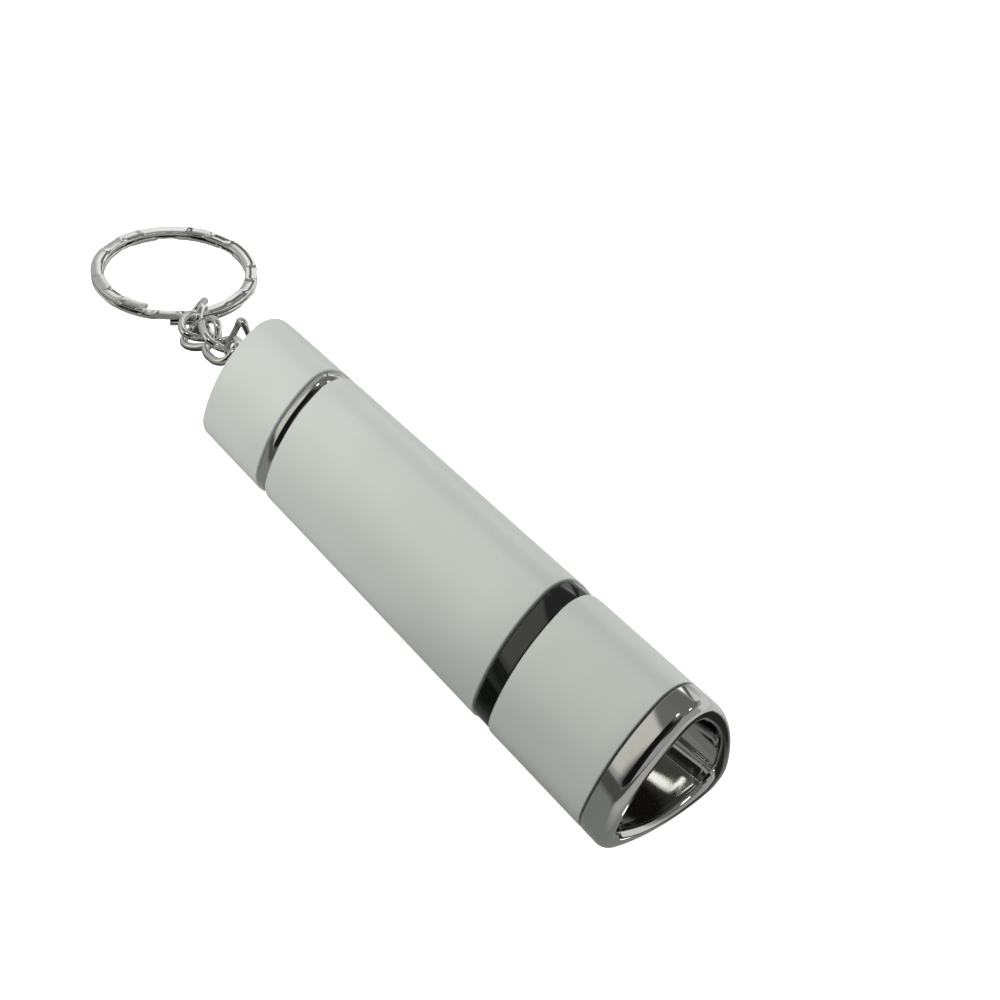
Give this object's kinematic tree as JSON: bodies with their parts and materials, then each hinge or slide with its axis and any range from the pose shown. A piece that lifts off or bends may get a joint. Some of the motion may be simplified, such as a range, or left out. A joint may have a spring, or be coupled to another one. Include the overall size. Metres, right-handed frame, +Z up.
{
  "type": "keychain flashlight",
  "caption": "Triangular pocket flashlight whose head pulls out to bare a clear lantern tube, with a wire bail, short chain and split ring at the tail.",
  "frame": {"origin": "on the resting side of the middle sleeve, on the table under the middle of the body", "axes": "+X along the body towards the light, +Z up from the side it lies on"},
  "size_m": [0.1363, 0.0302, 0.0185],
  "materials": {
    "chrome": "polished chrome",
    "satin_aluminium": "satin anodised",
    "steel": "bright",
    "brass": "plain",
    "gloss_black": "gloss",
    "rubber": "matt",
    "clear": "clear moulding",
    "white_plastic": "moulded",
    "circuit_board": "glass fibre laminate"
  },
  "bodies": {
    "middle": {"middle_sleeve": "satin_aluminium", "guide_bush": "gloss_black", "led_holder": "white_plastic", "led": "clear", "led_lead_positive": "steel", "led_lead_negative": "steel", "circuit_board": "circuit_board", "resistor": "gloss_black", "front_contact": "brass", "button_cell_1": "steel", "button_cell_2": "steel", "button_cell_3": "steel", "button_cell_4": "steel", "battery_tube": "white_plastic", "rear_trim_ring": "chrome"},
    "head": {"reflector_bezel": "chrome", "head_sleeve": "satin_aluminium", "stop_collar": "gloss_black", "lantern_tube": "clear", "slide_o_ring": "rubber"},
    "tail": {"tail_sleeve": "satin_aluminium", "tail_cap": "satin_aluminium", "eyelet_post": "chrome", "post_clip": "steel", "contact_plate": "brass", "contact_spring": "steel"},
    "bail_body": {"bail": "chrome"},
    "link_1": {"chain_link_1": "chrome"},
    "link_2": {"chain_link_2": "chrome"},
    "link_3": {"chain_link_3": "chrome"},
    "link_4": {"chain_link_4": "chrome"},
    "link_5": {"chain_link_5": "chrome"},
    "key_ring": {"split_ring": "chrome"}
  },
  "joints": [
    {"name": "head_slide", "type": "slide", "parent": "middle", "child": "head", "axis": [1, 0, 0], "range_m": [0, 0.013]},
    {"name": "tail_slide", "type": "slide", "parent": "middle", "child": "tail", "axis": [-1, 0, 0], "range_m": [0, 0.002], "deforming": ["contact_spring"]},
    {"name": "bail_pivot", "type": "hinge", "parent": "tail", "child": "bail_body", "pos_m": [-0.0434, 0, 0.00805], "axis": [0, 0, 1], "range_deg": [-45, 45]},
    {"name": "link_1_hinge", "type": "hinge", "parent": "bail_body", "child": "link_1", "pos_m": [-0.0516, 0, 0.0075], "axis": [0.401, 0, -0.9161], "range_deg": [-7, 10]},
    {"name": "link_2_hinge", "type": "hinge", "parent": "link_1", "child": "link_2", "pos_m": [-0.05478, 0.00057, 0.00658], "axis": [-0.0348, -0.899, -0.4366], "range_deg": [-6, 12]},
    {"name": "link_3_hinge", "type": "hinge", "parent": "link_2", "child": "link_3", "pos_m": [-0.06012, 0.00187, 0.0056], "axis": [-0.2886, -0.6701, 0.6839], "range_deg": [-50, 12]},
    {"name": "link_4_hinge", "type": "hinge", "parent": "link_3", "child": "link_4", "pos_m": [-0.06293, 0.00096, 0.00392], "axis": [-0.5437, 0.6051, 0.5816], "range_deg": [-3, 50]},
    {"name": "link_5_hinge", "type": "hinge", "parent": "link_4", "child": "link_5", "pos_m": [-0.06752, 0.0041, 0.00305], "axis": [-0.5634, -0.7036, 0.4331], "range_deg": [-30, 39]},
    {"name": "ring_hinge", "type": "hinge", "parent": "link_5", "child": "key_ring", "pos_m": [-0.07099, 0.00591, 0.00265], "axis": [0.1598, 0.9825, 0.0954], "range_deg": [-21, 3]}
  ]
}
